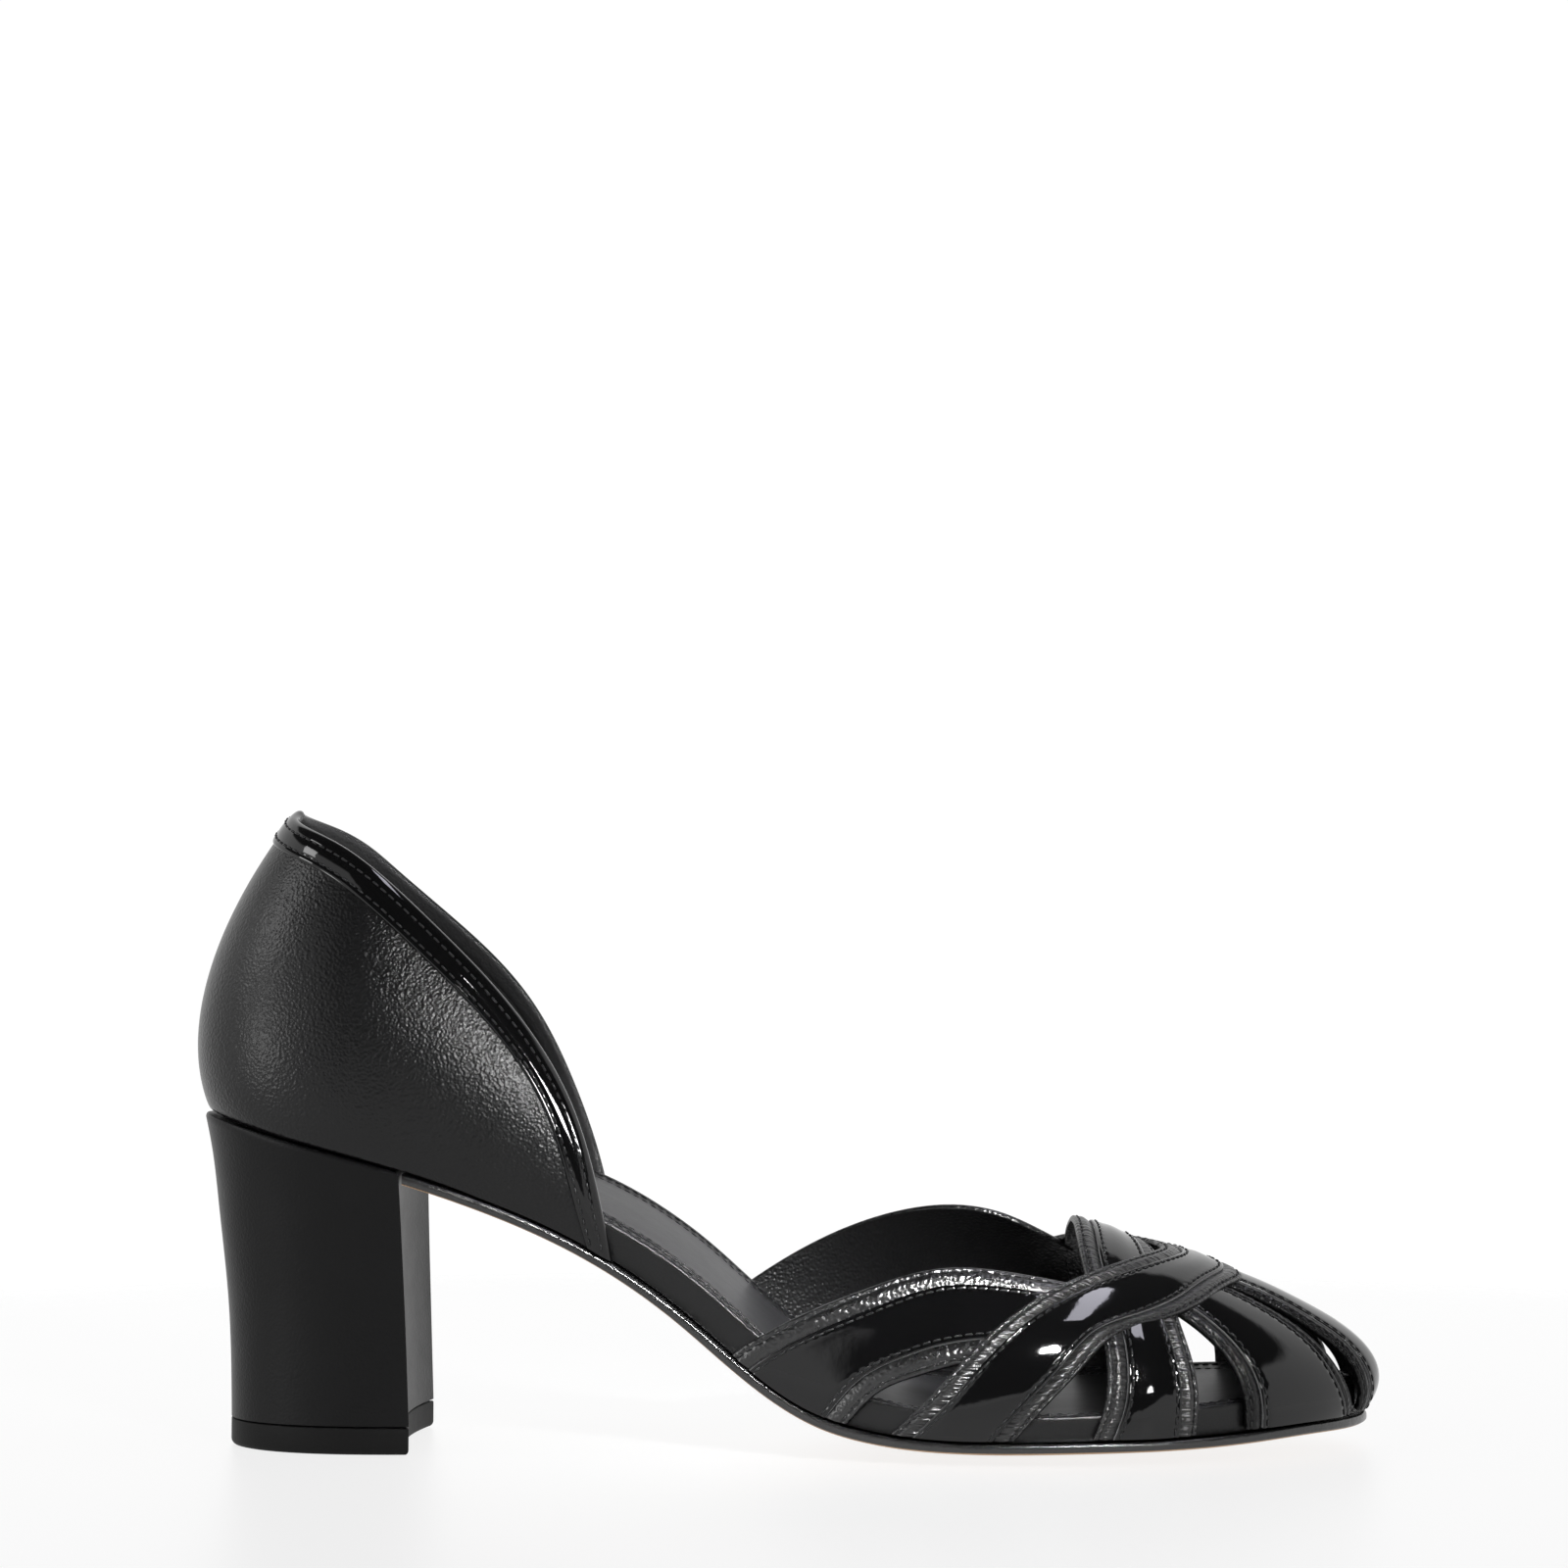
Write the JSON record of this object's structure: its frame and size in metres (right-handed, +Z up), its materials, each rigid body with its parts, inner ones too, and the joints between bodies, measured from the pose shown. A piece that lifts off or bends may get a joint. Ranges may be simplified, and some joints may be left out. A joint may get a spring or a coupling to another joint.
{
  "type": "leather pump",
  "caption": "Right-foot block-heel pump with an open waist, a closed heel counter with a patent collar, and a cut-out vamp of crossing patent straps with plain bindings.",
  "frame": {"origin": "bottom centre of the shoe's bounding box, on the floor plane", "axes": "+X from heel to toe, +Y to the inner (medial) side of the foot, +Z up from the floor"},
  "size_m": [0.2373, 0.0787, 0.1269],
  "materials": {
    "sole_black": "black edge dressing, satin",
    "sock_grey": "smooth dark grey sock, black wrapped edge",
    "heel_cover_black": "smooth black leather cover, soft sheen",
    "rubber_black": "matt black rubber",
    "smooth_leather_black": "smooth black leather with fine grain, soft sheen",
    "collar_patent_black": "black patent leather, stitched along both edges",
    "strap_patent_black": "black patent leather on plain black leather bindings"
  },
  "bodies": {
    "root": {"outsole": "sole_black", "insole": "sock_grey", "heel": "heel_cover_black", "top_lift": "rubber_black", "quarter": "smooth_leather_black", "collar_band": "collar_patent_black", "vamp": "strap_patent_black"}
  },
  "joints": []
}
